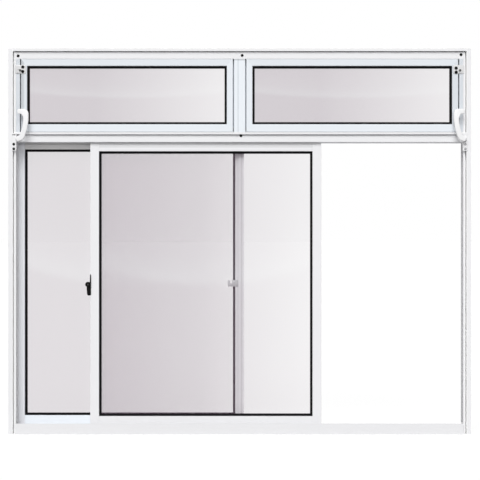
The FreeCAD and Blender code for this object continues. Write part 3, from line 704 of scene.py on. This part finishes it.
class WINDOW_OT_coat(WindowStep):
    """Powder coats the frame, the sashes and the vents"""
    bl_idname = "window.coat"
    bl_label = "Powder coat"

    def execute(self, context):
        plain, cool = colours().coat, colours().cool_coat
        frame_members = [name for name in NODES if name.startswith("frame")] + ["transom_bar"]
        members = [name for name in NODES if name.endswith(("stile", "rail", "filler"))]
        front = [name for name in members if name.startswith("front")]
        others = [name for name in members if name not in front]
        across, up, dark, light = 0, 2, 0.0, 1.0
        # Painted shade: the left vent's left stile darker towards its outer corner
        painted_corner_shade = [(across, -567.5, 9.0, 0.24, dark)]
        # Painted shade: two dark stripes on the rear sash's right stile, where its hook's edges
        # lie in shade
        painted_groove_shade = [(across, -4.2, 1.6, 0.10, dark), (across, 5.0, 2.9, 0.16, dark)]
        mullion_end = node_box("vent_mullion")[1][2] - 2.0
        # Painted shade on the mullion: a faint line beside its step and a darker stripe at its
        # top end
        painted_mullion_shade = [(across, -4.1, 1.9, 0.15, dark), (up, mullion_end, 2.6, 0.34, dark)]
        # Painted shadow: the front sash's top rail darker just below the bar
        painted_bar_shadow = [(up, 747.0, 6.5, 0.11, dark)]
        # Painted light: the jambs' grooves lighter than their shade
        painted_groove_light = [(across, side * 587.0, 3.5, 0.95, light) for side, _ in SIDES]
        # The later coats go over the earlier ones
        coats = (
            ("powder_coat", plain, (), frame_members + front),
            ("powder_coat_cool", cool, (), others),
            # The fillers and the right vent's right stile: a darker copy of the cool coat,
            # painted shade
            ("powder_coat_painted_shade", shade(cool, 0.88), (),
             ["left_vent_filler", "right_vent_filler", "right_vent_right_stile"]),
            # The left vent's left stile: a darker copy of the cool coat with a darker stripe,
            # painted shade
            ("powder_coat_dim_painted_shade", shade(cool, 0.91), painted_corner_shade, ["left_vent_left_stile"]),
            # The vents' top rails: a darker copy of the cool coat, painted shade
            ("powder_coat_top_painted_shade", shade(cool, 0.94), (),
             ["left_vent_top_rail", "right_vent_top_rail"]),
            # The rear sash's bottom rail: a lighter copy of the cool coat, painted light
            ("powder_coat_low_painted_light", shade(cool, 1.09), (), ["rear_sash_bottom_rail"]),
            ("powder_coat_rear", REAR_STILE, (), ["rear_sash_left_stile"]),
            # The rear sash's top rail: a greyer tone, painted shade under the bar
            ("powder_coat_rear_top_painted_shade", REAR_TOP_RAIL_SHADE, (), ["rear_sash_top_rail"]),
            # The rear sash's right stile: the plain coat with stripes of painted shade
            ("powder_coat_painted_groove_shade", plain, painted_groove_shade, ["rear_sash_right_stile"]),
            # The sill: a darker copy of the plain coat, painted shade
            ("powder_coat_sill_painted_shade", shade(plain, 0.955), (), ["frame_sill"]),
            # The mullion: a lighter copy of the cool coat, painted light, with stripes of painted
            # shade
            ("powder_coat_mullion_painted_light_and_shade", shade(cool, 1.035), painted_mullion_shade, ["vent_mullion"]),
            # The front sash's top rail: the plain coat with a painted shadow under the bar
            ("powder_coat_painted_bar_shadow", plain, painted_bar_shadow, ["front_sash_top_rail"]),
            # The jambs: the plain coat with stripes of painted light in their grooves
            ("powder_coat_jamb_painted_light", plain, painted_groove_light, ["frame_left_jamb", "frame_right_jamb"]),
        )
        for name, colour, stripes, nodes in coats:
            dress(nodes, powder_coat(name, colour, stripes))
        return {"FINISHED"}


class WINDOW_OT_glaze(WindowStep):
    """Gives the panes their glass"""
    bl_idname = "window.glaze"
    bl_label = "Glass"

    def execute(self, context):
        # In metres: the painted shade across a pane is (one x, another x, weight at the one,
        # weight at the other) from the pane's middle, and the painted reflection is (z in the
        # middle, bow, softness, reach upwards, strength)
        sash_painted_reflection = (0.371, 0.64, 0.03, 0.065, 0.42)
        vent_painted_reflection = (0.867, 0.205, 0.012, 0.022, 0.40)
        for node, painted_shade_ramp, painted_reflection in (
                ("front_sash_glass", (-0.015, 0.271, 0.186, 0.088), sash_painted_reflection),
                ("rear_sash_glass", (-0.130, 0.258, 0.205, 0.058), sash_painted_reflection),
                ("left_vent_glass", (-0.083, 0.247, 0.283, 0.115), vent_painted_reflection),
                ("right_vent_glass", (-0.083, 0.247, 0.286, 0.115), vent_painted_reflection)):
            dress([node], glass(node, colours().glass, painted_shade_ramp, painted_reflection))
            NODES[node].visible_shadow = False
        return {"FINISHED"}


class WINDOW_OT_gaskets(WindowStep):
    """Makes the glazing gaskets: on each face of a pane a lip that rolls down to the glass"""
    bl_idname = "window.gaskets"
    bl_label = "Glazing gaskets"

    def execute(self, context):
        finish = rubber("gasket_rubber", colours().rubber)
        for name in [name for name in NODES if name.endswith("gasket")]:
            low, high = node_box(name)
            middle = (low[1] + high[1]) / 2
            shells = [ring_of(low[0], high[0], low[2], high[2],
                              [(inwards, middle + face * away) for inwards, away in GASKET_LIP])
                      for face in (-1, 1)]
            piece(name + "_lips", shells, finish, "gasket_rubber", replaces=[name])
        return {"FINISHED"}


class WINDOW_OT_seals(WindowStep):
    """Gives the jambs' seal strips their pile and the rollers their nylon"""
    bl_idname = "window.seals"
    bl_label = "Seals and rollers"

    def execute(self, context):
        dress(["left_jamb_seal"], pile("seal_pile", colours().pile))
        # The right seal's pile is drawn darker than the left's: painted shade
        dress(["right_jamb_seal"], pile("seal_pile_painted_shade", shade(colours().pile, 0.84)))
        dress(["front_sash_rollers", "rear_sash_rollers"],
              nylon("roller_nylon", colours().nylon))
        return {"FINISHED"}


def lever_place(side):
    """How much further out a side's lever stands, and its foot's x and z."""
    out = RIGHT_LEVER_OUT if side > 0 else 0.0
    inset, rise, _ = LEVER_STOPS[-1]
    return out, side * (HALF - inset + out), BAR_TOP + rise


def lever_shell(side, out):
    """The lever's arm: a superellipse, |w|^p + |t|^p = 1 with p LEVER_POWER, carried along the
    curve through its stops, which bows outwards by a half sine wave. At each end the arm runs
    on over a quarter circle, forwards by its sine and narrower by its cosine, to a round tip."""
    rows, sides = 90, 40
    stops = np.array(LEVER_STOPS)
    bow = LEVER_BOW * np.sin(math.pi * np.linspace(0, 1, len(stops)))
    line = np.column_stack([side * (HALF - stops[:, 0] + out), FACE - LEVER_STAND - bow,
                            BAR_TOP + stops[:, 1], stops[:, 2]])
    centre, half_w = np.split(curve_through(line, rows), [3], axis=1)
    ends = unit(np.gradient(centre, axis=0))[[0, -1]] * [[-1], [1]]
    turn = np.radians(np.linspace(8, 84, 10))[:, None]
    sine, cosine = np.sin(turn), np.cos(turn)
    thin = np.vstack([cosine[::-1], np.ones_like(half_w), cosine])
    half_w = np.vstack([half_w[0] * cosine[::-1], half_w, half_w[-1] * cosine])
    centre = np.vstack([centre[0] + ends[0] * LEVER_HALF_T * sine[::-1], centre,
                        centre[-1] + ends[1] * LEVER_HALF_T * sine])
    along = unit(np.gradient(centre, axis=0))
    across = unit(np.cross(along, (0.0, 1.0, 0.0)))
    up = np.cross(along, across)
    turn = np.linspace(0, 2 * math.pi, sides, endpoint=False)
    w, t = (np.sign(wave) * np.abs(wave) ** (2 / LEVER_POWER)
            for wave in (np.cos(turn), np.sin(turn)))
    points = (centre[:, None] + across[:, None] * (half_w * w)[..., None]
              + up[:, None] * (LEVER_HALF_T * thin * t)[..., None])
    return grid(points, wrap_v=True, lid_start=True, lid_end=True)


class WINDOW_OT_levers(WindowStep):
    """Makes the two curved levers and the bosses that they turn on"""
    bl_idname = "window.levers"
    bl_label = "Levers"

    def execute(self, context):
        finish = enamel("lever_enamel", colours().enamel)
        root, head = FACE - PLATE_T, FACE - LEVER_STAND
        for side, hand in SIDES:
            out, x, z = lever_place(side)
            boss = turned([(root, BOSS_R), (root - 0.8, BOSS_R - 0.4), (head + 2, BOSS_R - 0.8),
                           (head, BOSS_R - 1.4)], x, z)
            piece(hand + "_lever_arm", [lever_shell(side, out), boss], finish, "lever_white",
                  replaces=[hand + "_lever"])
        return {"FINISHED"}


class WINDOW_OT_plates(WindowStep):
    """Makes the plates that carry the levers, their pins and their screws"""
    bl_idname = "window.plates"
    bl_label = "Lever plates"

    def execute(self, context):
        finish = enamel("plate_enamel", shade(colours().enamel, 0.93))
        black = (black_paint("plate_screw_black", colours().black), "latch_black")
        pale = (steel("plate_screw_steel", PLATE_SCREW_STEEL), "keeper_metal")
        front, inner = FACE - PLATE_T, HALF - PLATE_EDGE - PLATE_W
        pit_z = BAR_TOP + PIT_RISE
        for side, hand in SIDES:
            name = hand + "_lever_plate"
            (_, _, low), (_, _, high) = node_box(name)
            face_x, pad_x = (sorted((side * (HALF - edge), side * inner))
                             for edge in (PLATE_EDGE, PAD_EDGE))
            pit_x = [sum(face_x) / 2 + by for by in (-PIT_HALF_GAP, PIT_HALF_GAP)]
            casting = slab(*face_x, low, high, PLATE_ROUND, FACE, front, size_of("cast_edge"),
                           [(x, pit_z) for x in pit_x])
            pad = plate(rounded(*pad_x, low, high, PLATE_ROUND), LIP, FACE, PAD_ROUND)
            _, foot_x, foot_z = lever_place(side)
            ear = turned([(FACE, EAR_R), (FACE - 1.6, EAR_R), (front, EAR_R - 0.6)],
                         foot_x, foot_z)
            piece(name + "_casting", [casting, pad, ear], finish, "lever_white",
                  replaces=[name])
            screws = [screw(side * PLATE_SCREW_X, z, front, size_of("plate_screw"))
                      for z in PLATE_SCREW_Z]
            piece(name + "_screws", screws, *(black if side < 0 else pale))
            pins = [turned([(front + 1.4, PIN_R), (front + 0.8, PIN_R),
                            (front + 0.5, PIN_R - 0.4)], x, pit_z, 20) for x in pit_x]
            piece(name + "_pins", pins, *(black if side < 0 else (finish, "lever_white")))
        return {"FINISHED"}


class WINDOW_OT_pivots(WindowStep):
    """Makes the vents' pivots: a leaf, a knuckle with its pin, and the screws"""
    bl_idname = "window.pivots"
    bl_label = "Pivots"

    def execute(self, context):
        finish = enamel("pivot_enamel", shade(colours().enamel, 0.76))
        black = black_paint("pivot_screw_black", colours().black)
        metal = steel("pivot_steel", PIVOT_STEEL)
        front = LIP - PIVOT_T
        for name, side, screw_x, screw_heights, pin_x in PIVOTS:
            low, high = node_box(name)
            leaf = plate(rounded(low[0], high[0], low[2] - PIVOT_LOWER, high[2], PIVOT_ROUND),
                         LIP, front, size_of("cast_edge"))
            z = low[2] + KNUCKLE_RISE
            knuckle = turned([(front + 0.5, KNUCKLE_R), (front - 1.2, KNUCKLE_R - 0.2),
                              (front - 1.7, KNUCKLE_R - 0.7), (front - 1.7, KNUCKLE_R - 1.4),
                              (front - 0.9, KNUCKLE_R - 1.8), (front - 0.9, 2.0)],
                             side * KNUCKLE_X, z)
            piece(name + "_leaf", [leaf, knuckle], finish, "lever_white", replaces=[name])
            pin = turned([(front, PIVOT_PIN_R), (front - 2.0, PIVOT_PIN_R),
                          (front - 2.4, PIVOT_PIN_R - 0.5), (front - 2.6, 1.4)],
                         side * pin_x, z + PIVOT_PIN_RISE, 24)
            piece(name + "_pin", [pin], metal, "keeper_metal")
            screws = [screw(side * screw_x, height, front, size_of("pivot_screw"))
                      for height in screw_heights]
            piece(name + "_screws", screws, black, "latch_black")
        return {"FINISHED"}


class WINDOW_OT_latch(WindowStep):
    """Makes the latch on the front sash: tapered body, grip knob with its pin, thin arm"""
    bl_idname = "window.latch"
    bl_label = "Latch"

    def execute(self, context):
        black = black_paint("latch_black", colours().black)
        (wide, face, _), (lap, back, solid_top) = node_box("latch_body")
        (cam_left, cam_front, _), _ = node_box("latch_cam")
        top, seat = solid_top + LATCH_RAISE, face + LATCH_SEAT
        foot = top - LATCH_BODY_H
        outline = [(lap, top), (lap, foot + 2.5), (lap - 2.0, foot), (wide + 3.2, foot),
                   (wide + 1.4, foot + 4.0), (wide + 0.4, top - 12.0), (wide, top)]
        block = [(min(x, lap - 2.2), z) for x, z in outline]
        piece("latch_plate", [plate(smoothed(outline, 1.4), seat, face, 0.6),
                              plate(smoothed(block, 0.8), back, seat, 0.2)],
              black, "latch_black", replaces=["latch_body"])
        x, tip = cam_left + KNOB_IN, face - KNOB_DEPTH
        knob = turned([(face, KNOB_R - 1.2), (face - 0.5, KNOB_R - 0.3), (face - 1.0, KNOB_R),
                       (tip + 1.0, KNOB_R), (tip + 0.3, KNOB_R - 0.4), (tip, KNOB_R - 1.0),
                       (tip, 3.1), (tip + 0.6, 2.8)], x, top, ripple=KNOB_RIPPLE)
        arm = [(x, top - 6.4), (lap, top - 6.4), (lap, top + 22.5), (lap - 0.7, top + 26.3),
               (lap - 1.9, top + 26.3), (lap - 2.6, top + 22.5), (lap - 2.9, top + 6.6),
               (x, top + 3.3)]
        piece("latch_knob", [knob, plate(smoothed(arm, 0.8), face, face - ARM_T, 0.45)],
              black, "latch_black", replaces=["latch_cam"])
        pin = turned([(tip + 0.6, 2.2), (cam_front + 0.5, 2.2), (cam_front + 0.1, 1.9),
                      (cam_front, 1.2)], x + 0.4, top - 0.5, 24)
        piece("latch_pin", [pin], steel("pin_steel", PIN_STEEL), "keeper_metal")
        return {"FINISHED"}


class WINDOW_OT_keeper(WindowStep):
    """Makes the pressed keeper with its notch, and the rivets that hold it"""
    bl_idname = "window.keeper"
    bl_label = "Keeper"

    def execute(self, context):
        (left, face, base), (right, back, top) = node_box("latch_keeper")
        left, base, top = left - KEEPER_LEFT, base + KEEPER_BASE, top + KEEPER_TOP
        notch, notch_end, sole = left + NOTCH_IN, left + NOTCH_IN + NOTCH_W, top - NOTCH_DEPTH
        outline = [(left, base), (right, base), (right, top), (notch_end, top),
                   (notch_end, sole), (notch, sole), (notch, top), (left, top)]
        rivets = [turned([(face + 0.4, RIVET_R), (face - 0.1, RIVET_R),
                          (face - 0.45, RIVET_R - 0.4), (face - 0.6, 0.5)], x, z, 20)
                  for x, z in RIVETS]
        piece("keeper_plate", [plate(smoothed(outline, 0.8), back, face, 0.4), *rivets],
              steel("keeper_steel", colours().keeper), "keeper_metal",
              replaces=["latch_keeper"])
        return {"FINISHED"}


class WINDOW_OT_screws(WindowStep):
    """Makes the black screws in the head and the bar"""
    bl_idname = "window.screws"
    bl_label = "Frame screws"

    def execute(self, context):
        black = black_paint("frame_screw_black", colours().black)
        radius = size_of("frame_screw")
        # Each of the head's screws stands at a turn of its own
        head = [screw(x, z, LIP, radius, 0.3 + 0.01 * abs(x)) for x, z in HEAD_SCREWS]
        piece("head_screws", head, black, "latch_black")
        bar = screw(*BAR_SCREW, LIP + BAR_BEHIND, radius)
        piece("bar_screw", [bar], black, "latch_black")
        return {"FINISHED"}


def onstage(name, data):
    """An object of the stage, in the scene."""
    made = bpy.data.objects.new(name, data)
    bpy.context.scene.collection.objects.link(made)
    return made


class WINDOW_OT_stage(WindowStep):
    """Sets the floor, the white surroundings, the lamps and the camera"""
    bl_idname = "window.stage"
    bl_label = "Stage"

    def execute(self, context):
        scene, stage = context.scene, context.scene.window_stage
        # The floor: grey paper to the light, and nearly white to the eye
        reach = 400.0
        corners = [(x * reach, y * reach, CAD_BOX[0][2])
                   for x, y in ((-1, -1), (1, -1), (1, 1), (-1, 1))]
        mesh = bpy.data.meshes.new("floor")
        mesh.from_pydata(corners, [], [[0, 1, 2, 3]])
        paper = Finish("floor_paper", Roughness=0.9, Specular_IOR_Level=0.0)
        seen = paper.seen()
        paper.set("Base Color", paper.blend(seen, (0.5, 0.5, 0.5), (0.15, 0.15, 0.15)))
        paper.set("Emission Color", paper.blend(seen, (0.0, 0.0, 0.0), (1.0, 1.0, 1.0)))
        paper.set("Emission Strength", 0.895)
        mesh.materials.append(paper.material)
        floor = onstage("floor", mesh)
        # The ground's lamp shines through it
        floor.visible_shadow = False

        # White surroundings to the eye, and the sky's strength to the light
        scene.world = bpy.data.worlds.new("surroundings")
        scene.world.use_nodes = True
        around = Nodes(scene.world.node_tree)
        background = around.tree.nodes["Background"].inputs
        around.put(background["Color"], (1, 1, 1))
        around.put(background["Strength"], stage.sky + around.seen() * (1 - stage.sky))

        for name, toward, strength, spread in (
                ("key", (-0.12, -0.74, 0.66), stage.key, 34.0),
                ("fill", (0.10, -0.95, 0.22), stage.fill, 30.0),
                ("ground", (0.0, 0.62, -0.78), stage.ground, 20.0)):
            data = bpy.data.lights.new(name, "SUN")
            data.energy, data.angle = strength, math.radians(spread)
            lamp = onstage(name, data)
            lamp.visible_glossy = name == "key"
            lamp.location = Vector(toward) * 4.0
            lamp.rotation_euler = Vector(toward).to_track_quat("Z", "Y").to_euler()

        data = bpy.data.cameras.new("eye")
        data.lens, data.sensor_width = stage.lens, 36.0
        scene.camera = onstage("eye", data)
        scene.camera.location = stage.eye
        scene.camera.rotation_euler = (math.pi / 2, 0.0, 0.0)
        scene.view_settings.view_transform = "Standard"
        return {"FINISHED"}


STEPS = (WINDOW_OT_coat, WINDOW_OT_glaze, WINDOW_OT_gaskets, WINDOW_OT_seals,
         WINDOW_OT_levers, WINDOW_OT_plates, WINDOW_OT_pivots, WINDOW_OT_latch,
         WINDOW_OT_keeper, WINDOW_OT_screws, WINDOW_OT_stage)


class WINDOW_PT_steps(Panel):
    """Lists the steps in their order"""
    bl_idname = "WINDOW_PT_steps"
    bl_label = "Sliding window"
    bl_space_type = "VIEW_3D"
    bl_region_type = "UI"
    bl_category = "Window"

    def draw(self, context):
        for group in GROUPS:
            for name in GROUPS[group].__annotations__:
                self.layout.prop(getattr(context.scene, group), name)
        for step in STEPS:
            self.layout.operator(step.bl_idname)


CLASSES = (*GROUPS.values(), *STEPS, WINDOW_PT_steps)


def register():
    for made in CLASSES:
        bpy.utils.register_class(made)
    for name, group in GROUPS.items():
        setattr(bpy.types.Scene, name, PointerProperty(type=group))


def unregister():
    for name in GROUPS:
        delattr(bpy.types.Scene, name)
    for made in reversed(CLASSES):
        bpy.utils.unregister_class(made)


def main():
    """Runs the steps in their order."""
    register()
    for step in STEPS:
        group, name = step.bl_idname.split(".")
        getattr(getattr(bpy.ops, group), name)()


if __name__ == "__main__":
    main()
